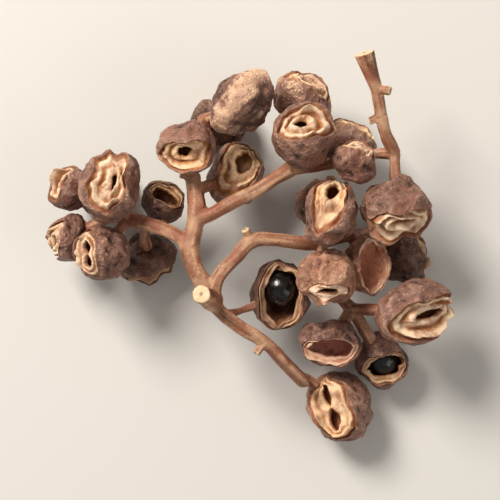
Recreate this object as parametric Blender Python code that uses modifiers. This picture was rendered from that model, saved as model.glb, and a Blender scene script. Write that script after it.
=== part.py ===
"""A dried sprig of andaliman pepper: a woody twig, the open seed husks that it carries, and two black seeds.

Metres, +Z up. The sprig lies on its lowest husks at z = 0, with its cut stalk pointing up.
The origin is on that surface, under the middle of the sprig.
"""

import math

import bmesh
import bpy
from mathutils import Matrix, Vector

MM = 0.001

# Clearance between a husk and the stalk that carries it
SEAT_GAP = 0.3 * MM

# Radii along the twig, in millimetres
STALK = 0.68
RACHIS = 0.62
BRANCH = 0.5
PEDICEL = 0.36
FINE_PEDICEL = 0.27
NODE_SWELL = 1.22

# The branches grow into one skin with this voxel, which then keeps this share of its faces
TWIG_VOXEL = 0.17 * MM
TWIG_KEEP = 0.1

# A husk is a cup with a wall of this thickness, and its mouth is this much narrower across its slit
HUSK_WALL = 0.5 * MM
HUSK_SEGMENTS = 12
HUSK_RINGS = 8
MOUTH_ACROSS = 0.62

# The block below the sprig, whose top is the surface that it lies on
SURFACE_SIDE = 60 * MM
SURFACE_DEPTH = 10 * MM

# Places on the twig where stalks part, in millimetres
FORK = (-3.0, -3.3, 7.6)
LEFT_NODE = (-9.2, 2.6, 5.6)
LEFT_END = (-10.4, 2.9, 4.5)
TOP_NODE = (-3.5, 9.9, 5.0)
MIDDLE_NODE = (2.7, 6.2, 6.7)
BROKEN_NODE = (10.3, 7.3, 7.5)
RIGHT_NODE = (5.0, 0.8, 5.0)
RIGHT_SIDE_NODE = (7.3, 1.3, 4.5)
RIGHT_LOW_NODE = (7.3, -4.1, 4.4)
LOWER_END = (3.7, -9.5, 4.8)

DARK_SKIN = (0.085, 0.05, 0.045)
MAUVE_SKIN = (0.16, 0.1, 0.09)
TAN_SKIN = (0.32, 0.17, 0.11)
BARK = (0.36, 0.19, 0.12)
SEED_BLACK = (0.008, 0.007, 0.008)
SKIN_ROUGHNESS = 0.75
SEED_ROUGHNESS = 0.15


def new_collection(name):
    made = bpy.data.collections.new(name)
    bpy.context.scene.collection.children.link(made)
    return made


def finish(name, colour, roughness):
    """A Principled material of one colour."""
    made = bpy.data.materials.new(name)
    made.use_nodes = True
    shader = made.node_tree.nodes["Principled BSDF"]
    shader.inputs["Base Color"].default_value = (*colour, 1.0)
    shader.inputs["Roughness"].default_value = roughness
    shader.inputs["Metallic"].default_value = 0.0
    return made


def put(mesh, name, colour, roughness):
    """The mesh as a smooth named object of the sprig, with its own material."""
    mesh.materials.append(finish(name + "_finish", colour, roughness))
    mesh.shade_smooth()
    mesh.set_sharp_from_angle(angle=math.radians(50.0))
    made = bpy.data.objects.new(name, mesh)
    made.parent = frame
    sprig.objects.link(made)
    return made


def direction(azimuth, elevation):
    """The unit vector at an azimuth from +X and an elevation from the surface, in degrees."""
    turn = math.radians(azimuth)
    rise = math.radians(elevation)
    return Vector((math.cos(turn) * math.cos(rise), math.sin(turn) * math.cos(rise), math.sin(rise)))


def placing_of(centre, faces, along):
    """The placing that turns +Z to the way the mouth faces and +X along its slit."""
    mouth = direction(*faces)
    slit = direction(*along)
    slit = (slit - slit.dot(mouth) * mouth).normalized()
    axes = Matrix((slit, mouth.cross(slit), mouth)).transposed()
    return Matrix.Translation(Vector(centre) * MM) @ axes.to_4x4()


def ball(name, segments, rings, place_of):
    """A sphere of one unit whose points are moved to place_of(point)."""
    bm = bmesh.new()
    bmesh.ops.create_uvsphere(bm, u_segments=segments, v_segments=rings, radius=1.0)
    if name == "husk":
        bmesh.ops.delete(bm, geom=[max(bm.verts, key=lambda v: v.co.z)], context="VERTS")
    for v in bm.verts:
        v.co = place_of(v.co)
    mesh = bpy.data.meshes.new(name)
    bm.to_mesh(mesh)
    bm.free()
    return mesh


def cup(half, opening):
    """A cup with its mouth to +Z: a sphere that lost its top point, with its rings drawn down to the rim."""
    last_ring = math.pi * (1.0 - 1.0 / HUSK_RINGS)

    def place_of(point):
        around = math.atan2(point.y, point.x)
        share = math.acos(max(-1.0, min(1.0, -point.z))) / last_ring
        mouth = opening * math.hypot(math.cos(around), MOUTH_ACROSS * math.sin(around))
        down = share * (math.pi - mouth)
        flat = Vector((math.cos(around) * math.sin(down), math.sin(around) * math.sin(down), -math.cos(down)))
        return half @ flat

    return ball("husk", HUSK_SEGMENTS, HUSK_RINGS, place_of)


def strand(points, radii):
    """One smooth branch of the twig, through points in millimetres."""
    spline = twig_curve.splines.new("BEZIER")
    spline.bezier_points.add(len(points) - 1)
    for point, place, radius in zip(spline.bezier_points, points, radii):
        point.co = Vector(place) * MM
        point.handle_left_type = "AUTO"
        point.handle_right_type = "AUTO"
        point.radius = radius


def husk(
    name, at, size, faces, along, joint, neck=None, opening=1.0, stalk=PEDICEL, skin=MAUVE_SKIN, foot=False
):
    """One open husk, and the stalk that carries it from its joint on the twig.

    at is its centre, and size its length along the slit, its width and its depth, all in millimetres.
    faces and along are the angles of the mouth and of the slit, and opening is the mouth's half angle
    in radians. The stalk passes its neck. A foot is cut flat by the surface that the sprig lies on.
    """
    half = Matrix.Diagonal([side / 2 * MM for side in size])
    placing = placing_of(at, faces, along)
    mesh = cup(half, opening)
    mesh.transform(placing)
    made = put(mesh, name, skin, SKIN_ROUGHNESS)
    wall = made.modifiers.new("wall", "SOLIDIFY")
    wall.thickness = HUSK_WALL
    wall.offset = -1.0
    wall.use_even_offset = True
    if foot:
        flat_spot = made.modifiers.new("flat_spot", "BOOLEAN")
        flat_spot.operation = "DIFFERENCE"
        flat_spot.object = surface
    before = Vector(neck or joint) * MM
    inward = placing.inverted() @ before
    touch = placing @ (inward / (half.inverted() @ inward).length)
    seat = touch + (before - touch).normalized() * (SEAT_GAP + stalk / 4 * MM)
    path = [joint] + ([neck] if neck else []) + [tuple(seat / MM)]
    strand(path, [stalk * 1.15] + [stalk] * (len(path) - 2) + [stalk * 1.1])


def seed(name, at, size, faces, along):
    """A seed, a slightly flattened ball, lying in its husk."""
    half = Matrix.Diagonal([side / 2 * MM for side in size])
    mesh = ball("seed", 12, 8, lambda point: half @ point)
    mesh.transform(placing_of(at, faces, along))
    put(mesh, name, SEED_BLACK, SEED_ROUGHNESS)


def grow_twig():
    """The branches run together into one piece of wood."""
    guide = bpy.data.objects.new("twig_guide", twig_curve)
    sprig.objects.link(guide)
    bpy.context.view_layer.update()
    grown = guide.evaluated_get(bpy.context.evaluated_depsgraph_get())
    mesh = bpy.data.meshes.new_from_object(grown)
    bpy.data.objects.remove(guide)
    bm = bmesh.new()
    bm.from_mesh(mesh)
    bmesh.ops.remove_doubles(bm, verts=bm.verts, dist=0.001 * MM)
    bm.to_mesh(mesh)
    bm.free()
    mesh.materials.clear()
    made = put(mesh, "twig", BARK, SKIN_ROUGHNESS)
    skin = made.modifiers.new("one_skin", "REMESH")
    skin.mode = "VOXEL"
    skin.voxel_size = TWIG_VOXEL
    skin.use_smooth_shade = True
    fewer = made.modifiers.new("fewer_faces", "DECIMATE")
    fewer.ratio = TWIG_KEEP


def centre_over_origin():
    """Moves the sprig so that the middle of its box is over the origin."""
    bpy.context.view_layer.update()
    graph = bpy.context.evaluated_depsgraph_get()
    corners = []
    for piece in sprig.objects:
        if piece.type == "MESH":
            shape = piece.evaluated_get(graph).to_mesh()
            corners += [piece.matrix_world @ v.co for v in shape.vertices]
    frame.location.x = -(min(c.x for c in corners) + max(c.x for c in corners)) / 2
    frame.location.y = -(min(c.y for c in corners) + max(c.y for c in corners)) / 2


for thing in list(bpy.data.objects):
    bpy.data.objects.remove(thing)

sprig = new_collection("andaliman_sprig")
cutters = new_collection("cutters")

frame = bpy.data.objects.new("sprig_frame", None)
sprig.objects.link(frame)

# The surface flattens the husks that rest on it
bpy.ops.mesh.primitive_cube_add(size=1.0)
surface = bpy.context.object
surface.name = "surface"
surface.data.transform(Matrix.Diagonal((SURFACE_SIDE, SURFACE_SIDE, SURFACE_DEPTH, 1.0)))
surface.data.transform(Matrix.Translation((0.0, 0.0, -SURFACE_DEPTH / 2)))
for holder in list(surface.users_collection):
    holder.objects.unlink(surface)
cutters.objects.link(surface)
surface.hide_render = True
surface.display_type = "WIRE"

twig_curve = bpy.data.curves.new("twig", "CURVE")
twig_curve.dimensions = "3D"
twig_curve.bevel_depth = MM
twig_curve.bevel_resolution = 2
twig_curve.resolution_u = 5
twig_curve.use_fill_caps = True

# The cut stalk, the fork below it, and the main stem that goes on to the top cluster
strand(
    [(-3.75, -2.9, 10.2), (-3.4, -3.1, 8.9), FORK, (-4.3, -1.0, 7.5), (-4.65, 0.4, 7.3), (-4.3, 2.0, 7.1)],
    [STALK, STALK, STALK * NODE_SWELL, RACHIS, RACHIS * NODE_SWELL, RACHIS],
)
strand(
    [(-4.3, 2.0, 7.1), (-4.1, 3.1, 6.9), (-4.3, 4.7, 6.6), (-4.5, 6.3, 6.0), (-4.3, 7.9, 5.3), TOP_NODE],
    [RACHIS, RACHIS * NODE_SWELL, RACHIS, BRANCH, BRANCH, BRANCH * NODE_SWELL],
)
# The branch to the left cluster
strand(
    [(-4.6, 0.4, 7.3), (-5.4, 1.2, 7.1), (-7.3, 2.0, 6.7), LEFT_NODE, LEFT_END],
    [RACHIS, BRANCH, BRANCH, BRANCH * NODE_SWELL, PEDICEL],
)
# The upper right branch, and its far end whose tip broke off
strand(
    [(-4.1, 2.6, 7.0), (-3.3, 2.8, 7.3), (-2.0, 3.5, 7.6), (0.0, 4.5, 7.6), (1.6, 5.5, 7.3), MIDDLE_NODE],
    [RACHIS, BRANCH, BRANCH, BRANCH, BRANCH, BRANCH * NODE_SWELL],
)
strand(
    [MIDDLE_NODE, (4.8, 6.4, 6.4), (7.0, 6.9, 6.6), (8.9, 7.3, 7.1), BROKEN_NODE],
    [BRANCH, PEDICEL, PEDICEL * NODE_SWELL, PEDICEL, BRANCH],
)
strand(
    [BROKEN_NODE, (9.5, 9.1, 8.4), (8.9, 11.9, 9.0), (8.0, 14.5, 9.6)],
    [BRANCH, BRANCH * 0.9, BRANCH * 0.9, BRANCH * NODE_SWELL],
)
# The right branch, which runs on below the husks that it carries
strand(
    [FORK, (-2.5, -1.7, 7.6), (-1.4, -0.4, 7.4), (-0.1, 0.9, 7.1), (1.7, 1.0, 6.7), (3.4, 0.8, 6.2)]
    + [RIGHT_NODE],
    [RACHIS, BRANCH, BRANCH, BRANCH * NODE_SWELL, BRANCH, BRANCH, BRANCH * NODE_SWELL],
)
strand([RIGHT_NODE, (6.0, 1.0, 4.6), RIGHT_SIDE_NODE], [BRANCH, PEDICEL, PEDICEL])
strand([RIGHT_NODE, (5.3, -0.6, 4.3), (5.8, -2.4, 4.0), RIGHT_LOW_NODE], [BRANCH, PEDICEL, PEDICEL, BRANCH])
# The long branch to the lowest husk
strand(
    [FORK, (-2.6, -4.0, 7.5), (-1.2, -5.2, 7.3), (0.8, -6.5, 6.9), (2.3, -8.0, 6.1), LOWER_END],
    [RACHIS, BRANCH, BRANCH, BRANCH, BRANCH, BRANCH],
)

# The left cluster
husk("husk_left_big", (-10.4, 5.0, 7.9), (5.4, 4.5, 4.5), (108, 66), (85, 0), LEFT_NODE, opening=1.15)
husk("husk_left_front", (-11.1, 0.1, 6.6), (4.0, 3.7, 4.7), (190, 55), (95, 0), LEFT_NODE, opening=0.9)
husk("husk_left_rim", (-13.6, 1.2, 4.3), (3.6, 3.2, 3.4), (195, 25), (90, 40), LEFT_END)
husk("husk_left_back", (-13.5, 4.7, 4.9), (3.4, 3.0, 3.2), (150, 35), (60, 0), LEFT_END)
husk(
    "husk_left_small", (-6.7, 3.8, 5.0), (3.2, 2.8, 3.0), (60, 60), (150, 0), (-6.6, 1.75, 6.8),
    neck=(-6.7, 1.7, 5.2), stalk=FINE_PEDICEL,
)
husk(
    "husk_left_foot", (-8.0, -0.4, 1.75), (4.4, 3.8, 4.0), (290, 15), (20, 0), (-8.0, 2.3, 6.4),
    neck=(-8.1, 1.3, 4.4), skin=DARK_SKIN, foot=True,
)
husk(
    "husk_left_under", (-11.3, 4.8, 1.85), (4.3, 3.9, 3.9), (130, 10), (40, 0), LEFT_END,
    skin=DARK_SKIN, foot=True,
)

# The top cluster
husk(
    "husk_top_big", (-0.8, 10.8, 8.6), (5.7, 4.6, 4.8), (-40, -25), (58, 20), TOP_NODE,
    opening=0.8, skin=TAN_SKIN,
)
husk("husk_top_mouth", (3.7, 8.5, 8.9), (4.7, 4.5, 5.3), (80, 60), (10, 0), MIDDLE_NODE, opening=1.1)
husk(
    "husk_top_back", (3.6, 11.5, 5.3), (4.4, 3.7, 4.0), (60, 30), (140, 10), MIDDLE_NODE,
    neck=(3.1, 8.9, 5.3), skin=TAN_SKIN,
)
husk("husk_top_left", (-4.8, 7.8, 8.2), (4.2, 3.8, 3.8), (-88, 58), (10, 0), TOP_NODE, opening=1.15)
husk(
    "husk_top_foot", (-2.7, 9.7, 1.9), (4.5, 3.9, 4.0), (100, -5), (20, 30), TOP_NODE,
    skin=DARK_SKIN, foot=True,
)
husk("husk_middle", (-1.3, 5.8, 4.5), (4.9, 4.2, 4.2), (75, 68), (65, 0), (-4.3, 4.6, 6.6), opening=1.25)
husk("husk_top_side", (7.3, 6.6, 8.8), (3.4, 2.9, 3.0), (70, 30), (160, 0), (7.0, 6.9, 6.6), opening=0.8)
husk("husk_top_under", (7.1, 8.2, 4.1), (3.9, 3.5, 3.6), (60, 15), (150, 0), (7.0, 6.9, 6.6), skin=DARK_SKIN)

# The right cluster
husk("husk_right_top", (5.6, 3.0, 8.0), (5.1, 4.1, 4.4), (100, 62), (75, 0), RIGHT_NODE, opening=1.1)
husk(
    "husk_right_wrinkled", (5.4, -1.8, 7.1), (4.2, 4.0, 3.9), (-90, 55), (0, 0), RIGHT_NODE,
    opening=0.7, skin=TAN_SKIN,
)
husk(
    "husk_right_pink", (8.5, -0.9, 5.1), (4.3, 3.5, 3.7), (-5, 70), (90, 0), RIGHT_SIDE_NODE,
    opening=1.2, skin=TAN_SKIN,
)
husk("husk_right_hanging", (10.4, 3.2, 8.1), (5.2, 4.8, 4.9), (-75, 45), (0, 0), BROKEN_NODE, opening=1.1)
husk(
    "husk_right_wide", (11.9, -4.3, 6.9), (6.2, 4.7, 4.9), (-30, 52), (-10, 30), RIGHT_LOW_NODE,
    opening=1.3,
)
husk(
    "husk_right_shaded", (5.8, -6.6, 4.5), (4.7, 3.5, 3.6), (-95, 60), (0, 0), RIGHT_LOW_NODE,
    opening=1.15, skin=DARK_SKIN,
)
husk(
    "husk_right_foot", (9.7, -8.0, 1.9), (4.2, 4.0, 4.0), (-70, 68), (10, 0), RIGHT_LOW_NODE,
    skin=DARK_SKIN, foot=True,
)
husk(
    "husk_right_under", (11.4, -0.3, 1.85), (4.3, 3.9, 3.9), (10, 10), (90, 20), RIGHT_SIDE_NODE,
    neck=(8.9, 1.5, 2.9), skin=DARK_SKIN, foot=True,
)
husk("husk_right_back", (5.2, 3.6, 2.7), (4.2, 3.8, 4.0), (110, 0), (20, 10), RIGHT_NODE, skin=DARK_SKIN)
husk(
    "husk_with_seed", (2.0, -3.1, 4.6), (5.2, 4.3, 4.4), (-90, 78), (88, 0), (-2.0, -4.5, 7.3),
    neck=(-0.9, -4.2, 5.6), opening=1.3, stalk=FINE_PEDICEL, skin=DARK_SKIN,
)

# The lowest husk, at the end of its long branch
husk(
    "husk_lower", (6.45, -11.5, 2.35), (5.5, 4.7, 4.9), (185, 70), (112, 0), LOWER_END,
    neck=(3.9, -9.3, 3.1), opening=1.15, foot=True,
)

# The two seeds that are still in their husks
seed("seed_middle", (2.02, -2.6, 4.88), (2.6, 2.4, 2.3), (-90, 78), (88, 0))
seed("seed_right", (9.72, -8.05, 2.05), (2.4, 2.3, 2.2), (-70, 68), (10, 0))

grow_twig()
centre_over_origin()
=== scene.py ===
"""The looks of a dried andaliman pepper sprig: wrinkled husks, glossy black seeds and a woody twig."""
import itertools
import math

import bmesh
import bpy
import numpy as np
from mathutils import Matrix, Vector, kdtree, noise
from mathutils.geometry import interpolate_bezier


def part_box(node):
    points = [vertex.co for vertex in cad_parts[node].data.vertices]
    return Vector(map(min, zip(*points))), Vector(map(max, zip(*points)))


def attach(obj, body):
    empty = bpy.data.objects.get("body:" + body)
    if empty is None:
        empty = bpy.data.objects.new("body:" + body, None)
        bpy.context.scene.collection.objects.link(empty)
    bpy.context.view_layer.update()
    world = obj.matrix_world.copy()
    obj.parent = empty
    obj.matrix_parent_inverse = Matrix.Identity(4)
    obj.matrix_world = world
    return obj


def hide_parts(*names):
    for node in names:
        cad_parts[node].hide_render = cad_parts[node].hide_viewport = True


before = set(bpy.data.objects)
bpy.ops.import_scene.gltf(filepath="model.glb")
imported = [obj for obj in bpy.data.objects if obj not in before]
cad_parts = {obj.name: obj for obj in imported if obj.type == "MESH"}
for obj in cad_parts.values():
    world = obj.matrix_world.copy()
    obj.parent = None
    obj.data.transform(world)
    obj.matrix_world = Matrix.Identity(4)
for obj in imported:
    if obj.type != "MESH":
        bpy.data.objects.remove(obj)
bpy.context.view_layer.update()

# Husks. Each one is a dried follicle: a pimpled, crumpled purplish-brown skin, split open along one side,
# with a pale papery lining that came away from the skin and curls at the lips. It grew on its own short
# stalk. Skin and lining are one wall here, drawn as one closed surface from the base over the lips and in.

MM = 0.001

# The frame lies beside the place where the sprig was drawn, by as much as this seed does
SEED_AT = (2.02, -2.6, 4.88)
seed_low, seed_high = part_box("seed_middle")
drawn_at = (Vector(seed_low) + Vector(seed_high)) / 2 - Vector(SEED_AT) * MM
drawn_at.z = 0.0

# Points round each husk, and rows of them up its skin and from the lips down its lining
AROUND = 108
SKIN_ROWS = 52
LINING_ROWS = 60
round_the_mouth = np.arange(AROUND) * 2 * math.pi / AROUND
COS = np.cos(round_the_mouth)
SIN = np.sin(round_the_mouth)


def direction(azimuth, elevation):
    """The way that faces this azimuth and elevation, in degrees."""
    turn = math.radians(azimuth)
    rise = math.radians(elevation)
    return Vector((math.cos(turn) * math.cos(rise), math.sin(turn) * math.cos(rise), math.sin(rise)))


def placing_of(at, faces, along):
    """Turns +Z to the way the mouth faces and +X along its slit, in the frame."""
    mouth = direction(*faces)
    slit = direction(*along)
    slit = (slit - slit.dot(mouth) * mouth).normalized()
    axes = Matrix((slit, mouth.cross(slit), mouth)).transposed()
    return Matrix.Translation(Vector(at) * MM + drawn_at) @ axes.to_4x4()


def smooth(value, low, high):
    """0 up to low, 1 from high on, and a soft step between them."""
    share = np.clip((value - low) / (high - low), 0.0, 1.0)
    return share * share * (3 - 2 * share)


def grain(points, scale):
    """Smooth noise from -1 to 1 at each point, with features of about 1 / scale."""
    flat = (points.reshape(-1, 3) * scale).tolist()
    return np.array([noise.noise(p) for p in flat]).reshape(points.shape[:-1])


def pimples(points, scale):
    """A rounded bump for each oil gland in the skin, from 0 between them to 1."""
    flat = (points.reshape(-1, 3) * scale).tolist()
    near = np.array([noise.voronoi(p)[0][0] for p in flat]).reshape(points.shape[:-1])
    return 1.0 - smooth(near, 0.12, 0.62)


def round_grain(birth, lobes, row):
    """Noise that closes on itself round the mouth."""
    ring = np.stack([COS * lobes, SIN * lobes, np.full(AROUND, birth * 7.3 + row)], axis=-1)
    return grain(ring, 1.0)


def swept(stations, rows):
    """A smooth curve of surface rows through the stations, which are arrays of like shape."""
    rail = np.stack([2 * stations[0] - stations[1], *stations, 2 * stations[-1] - stations[-2]])
    out = []
    for where in np.linspace(0.0, len(stations) - 1.0, rows):
        first = min(int(where), len(stations) - 2)
        f = where - first
        a, b, c, d = rail[first : first + 4]
        cubic = 3 * b - a - 3 * c + d
        square = 2 * a - 5 * b + 4 * c - d
        out.append(0.5 * (2 * b + (c - a) * f + square * f**2 + cubic * f**3))
    return np.stack(out)


# How thick a husk's wall is, and how far its skin sags, dents and wrinkles, all in millimetres
HUSK_WALL = 0.42
SAG = 0.24
DENT = 0.62
CREASE = 0.09
RIPPLE = 0.05
GLAND = 0.03


def leather(down, half, own, crumple, keel, keel_side):
    """The skin at these angles from the base, the ways out of it, its slack and how far off the keel."""
    a, b, c = half
    flat = np.stack([a * np.sin(down) * COS, b * np.sin(down) * SIN, -c * np.cos(down) + 0 * COS], axis=-1)
    out = flat / np.array([a * a, b * b, c * c])
    out /= np.linalg.norm(out, axis=-1, keepdims=True)
    slack = SAG * grain(flat + own, 0.4) - DENT * np.abs(grain(flat + 2 * own, 0.5)) + 0.02
    off_keel = np.abs(out @ keel_side + 0.25)
    slack = crumple * slack + keel * (0.12 - off_keel * smooth(off_keel, 0.0, 0.5))
    return flat, out, slack, smooth(off_keel, 0.1, 0.75)


# The mouth is narrower across its slit than along it
MOUTH_ACROSS = 0.62


def outer_skin(form, birth, opening, cleft):
    """The skin's rows from the base to the rim of the mouth, and how far each point stands out."""
    own = form["own"]
    # The mouth's edge wavers, and the slit runs on into the skin at both ends
    mouth = opening * np.hypot(COS, MOUTH_ACROSS * SIN)
    mouth = mouth * (1 + 0.16 * round_grain(birth, 1.4, 0.1) + 0.07 * round_grain(birth, 4.0, 1.7))
    mouth = mouth + cleft * np.exp(-((1 - COS) / 0.035)) + 0.6 * cleft * np.exp(-((1 + COS) / 0.03))
    up = np.linspace(0.0, 1.0, SKIN_ROWS + 1)[1:, None]
    skin, out, slack, off_keel = leather(up * (math.pi - mouth), **form)
    # The skin creases, ripples and pimples as it dries, and flares where it split open
    creases = 1 - 2.6 * np.abs(grain(skin + 3 * own, 0.95))
    ripples = 1 - 2.6 * np.abs(grain(skin + 4 * own, 2.0))
    glands = pimples(skin + own, 2.6)
    tips = smooth(up, 0.7, 1.0)
    wrinkles = form["crumple"] * (CREASE * creases + RIPPLE * ripples) * (1 - 0.4 * tips)
    flare = tips**2 * (0.04 + 0.1 * SIN**2) * (1 + 1.2 * round_grain(birth, 2.1, 3.1))
    skin = skin + out * (slack + wrinkles + GLAND * glands + flare)[..., None]
    # How far each point stands out, which the material paints as shade in the dips and highlight on the
    # ridges; the keel adds a painted highlight along its ridge
    relief = 0.45 + 0.22 * creases + 0.2 * ripples + 0.16 * (glands - 0.4) + 0.5 * slack + 0.16 * tips
    return skin, relief + form["keel"] * (1.1 - 1.5 * off_keel)


# How far the papery lining is streaked, buckled and creased, in millimetres
STREAK = 0.06
BUCKLE = 0.14
PAPER_CREASE = 0.2


def inner_lining(
    rim, form, birth, opening, hole, hole_at, waist, skew, sink, bulge, groove, curl, lip_at, lip_by, fold,
    fill,
):
    """The lining's rows over the lips and into the hollow, how deep each point is and how lined."""
    a, b, c = form["half"]
    own = form["own"]
    level = rim[:, 2].mean() + sink
    # The edge of the hole, ragged and pinched
    reach_x = a * math.sin(min(opening, 1.5))
    reach_y = b * math.sin(min(opening * MOUTH_ACROSS, 1.5))
    ragged = 1 + 0.22 * round_grain(birth, 1.8, 5.2) + 0.06 * round_grain(birth, 5.0, 6.2)
    pinch = (1 - waist + waist * np.abs(COS) ** 0.8 * 1.5) * np.abs(SIN) ** 0.3 * (1 + skew * COS)
    edge_x = hole_at[0] * reach_x + hole[0] * reach_x * COS * ragged
    edge_y = hole_at[1] * reach_y + hole[1] * reach_y * SIN * ragged * pinch
    # All round the mouth: the groove by the rim, the curled lip, the fold behind it and the swell at the hole
    lobe = 1 + lip_by * np.cos(round_the_mouth - math.radians(lip_at))
    deep_groove = groove * (0.55 + 1.1 * round_grain(birth, 1.3, 7.7).clip(-0.5, 0.6))
    crest = (curl * (0.5 + 1.7 * round_grain(birth, 1.5, 9.4)) * lobe).clip(-0.12, 0.55)
    loop = fold * (0.6 + 1.1 * round_grain(birth, 0.9, 11.3)).clip(0.0, 1.3)
    swell = bulge * (1 + 1.2 * round_grain(birth, 1.2, 13.9))
    stray = 0.13 * round_grain(birth, 1.2, 15.1) + 0.05 * round_grain(birth, 3.1, 16.3)

    def across(share, rise):
        """The lips' surface, this share of the way from the rim to the edge of the hole."""
        share = share + stray * np.sin(math.pi * share)
        x = rim[:, 0] * (1 - share) + edge_x * share
        y = rim[:, 1] * (1 - share) + edge_y * share
        z = rim[:, 2] + (level - rim[:, 2]) * smooth(share, 0.0, 0.9) + rise
        return np.stack([x, y, z], axis=-1)

    def hollow(angle):
        """The wall's inside at this angle from the base, raised as far as the hollow is filled."""
        flat, out, slack, _ = leather(np.full(AROUND, angle), **form)
        points = flat + out * (slack - HUSK_WALL - 0.6 * form["keel"])[..., None]
        deep = points[:, 2].copy()
        points[:, 2] += fill * (level - 0.5 - deep).clip(0.0)
        # What was raised is drawn in as much as the husk narrows there, so that it stays under the skin
        room = (1 - (points[:, 2] / c) ** 2).clip(0.04) / (1 - (deep / c) ** 2).clip(0.04)
        points[:, :2] *= np.sqrt(room.clip(0.0, 1.0))[:, None]
        return points

    # Each station's points, how deep in the husk its colour is, which paints the groove, the fold and the
    # hollow darker as shade, and how much of it is lining
    stations = [
        (rim, 0.34, 0.0),
        (across(0.07, 0.06), 0.42, 0.25),
        (across(0.15, -deep_groove * 0.8), 0.85, 0.8),
        (across(0.22, -deep_groove), 0.7, 1.0),
        (across(0.33, crest), 0.02, 1.0),
        (across(0.46, crest * 0.75), 0.05, 1.0),
        (across(0.6, crest * 0.2 - loop), 0.1 + 0.45 * loop / max(fold, 0.01), 1.0),
        (across(0.78, swell), 0.06, 1.0),
        (across(0.96, swell * 0.6), 0.14, 1.0),
        (across(1.0, -0.3), 0.66, 1.0),
        (hollow(1.85), 0.8, 1.0),
        (hollow(1.25), 0.86, 1.0),
        (hollow(0.65), 0.93, 1.0),
        (hollow(0.12), 1.0, 1.0),
    ]
    inside = swept(np.stack([points for points, _, _ in stations]), LINING_ROWS)[1:]
    depth = swept(np.stack([deep + 0 * COS for _, deep, _ in stations]), LINING_ROWS)[1:]
    lined = swept(np.stack([share + 0 * COS for _, _, share in stations]), LINING_ROWS)[1:]
    # It is streaked down its length, buckled, and creased like paper deep inside
    streaks = grain(np.stack([COS * 5 + 0 * depth, SIN * 5 + 0 * depth, depth * 1.2 + birth], axis=-1), 1.0)
    buckle = grain(inside + own, 1.3)
    papery = 0.28 - np.abs(grain(inside + 2 * own, 1.5)) - 0.5 * np.abs(grain(inside + 3 * own, 3.1))
    rise = STREAK * streaks + BUCKLE * buckle + PAPER_CREASE * papery * smooth(depth, 0.55, 0.7)
    inside[..., 2] += lined * rise
    # By the lips, raised buckles are painted paler and dipped ones darker, and deep inside the crease ridges
    # paler and the rest darker, as painted highlight and shade
    depth = depth - 0.22 * buckle * (depth < 0.5) - 0.9 * papery * smooth(depth, 0.6, 0.75)
    return inside, depth, lined


def husk_surface(size, birth, opening, cleft, crumple, keel, keel_side, **mouth):
    """Points in rows from the base to the bottom of the hollow, in millimetres, and their marks."""
    # Each husk takes its wrinkles from its own place in the noise
    own = np.array([birth * 3.7, birth * 1.9, -birth * 2.3])
    half = [side / 2 for side in size]
    form = dict(half=half, own=own, crumple=crumple, keel=keel, keel_side=keel_side)
    skin, relief = outer_skin(form, birth, opening, cleft)
    inside, depth, lined = inner_lining(skin[-1], form, birth, opening, **mouth)
    points = np.concatenate([skin, inside])
    depth = np.concatenate([np.full(skin.shape[:2], 0.3), depth])
    lined = np.concatenate([np.zeros(skin.shape[:2]), lined])
    relief = np.concatenate([relief, np.repeat(relief[-1:], len(inside), axis=0)])
    return points, {"depth": depth.clip(0, 1), "lined": lined.clip(0, 1), "relief": relief.clip(0, 1)}


def add_mark(mesh, title, values):
    """A number on each point of the mesh, for its material to read."""
    mark = mesh.attributes.new(title, "FLOAT", "POINT")
    mark.data.foreach_set("value", values.astype(np.float32))


def closed_mesh(name, points, marks, base, bottom):
    """One mesh of rows of points, closed by a point at each end, with its marks."""
    rows, around = points.shape[:2]
    verts = np.concatenate([[base], points.reshape(-1, 3), [bottom]])
    last = len(verts) - 1
    faces = []
    for j in range(around):
        k = (j + 1) % around
        faces.append((0, 1 + k, 1 + j))
        faces.append((last, last - around + j, last - around + k))
        for i in range(rows - 1):
            low = 1 + i * around
            faces.append((low + j, low + k, low + around + k, low + around + j))
    mesh = bpy.data.meshes.new(name)
    mesh.from_pydata(verts.tolist(), [], faces)
    for title, values in marks.items():
        add_mark(mesh, title, np.concatenate([[values[0].mean()], values.reshape(-1), [values[-1].mean()]]))
    mesh.shade_smooth()
    return mesh


def show(mesh, name, material, replaced):
    """Puts the finished piece in the place of its CAD node."""
    piece = bpy.data.objects.new(name, mesh)
    bpy.context.scene.collection.objects.link(piece)
    mesh.materials.append(material)
    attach(piece, "root")
    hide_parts(*replaced)


# The dried skin is painted dark in its dips as shade and pale on its ridges as highlight, and the papery
# lining is pale at the lips and painted brown in the hollow as shade. Each is a node group, because husks of
# seven colours use it with their own values.


def new_group(name, colours, number):
    """A group that takes these colours and one number, and gives a colour, a height and a roughness."""
    group = bpy.data.node_groups.new(name, "ShaderNodeTree")
    for title in colours:
        group.interface.new_socket(title, in_out="INPUT", socket_type="NodeSocketColor")
    group.interface.new_socket(number, in_out="INPUT", socket_type="NodeSocketFloat")
    group.interface.new_socket("Colour", in_out="OUTPUT", socket_type="NodeSocketColor")
    group.interface.new_socket("Height", in_out="OUTPUT", socket_type="NodeSocketFloat")
    group.interface.new_socket("Roughness", in_out="OUTPUT", socket_type="NodeSocketFloat")
    given = group.nodes.new("NodeGroupInput").outputs
    out = group.nodes.new("NodeGroupOutput").inputs
    return group, given, out


def node(tree, kind, links=(), **settings):
    """A node with its settings, and its inputs linked or given values by name or number."""
    made = tree.nodes.new(kind)
    for title, value in settings.items():
        setattr(made, title, value)
    for socket, source in dict(links).items():
        if isinstance(source, bpy.types.NodeSocket):
            tree.links.new(source, made.inputs[socket])
        else:
            made.inputs[socket].default_value = source
    return made


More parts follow.
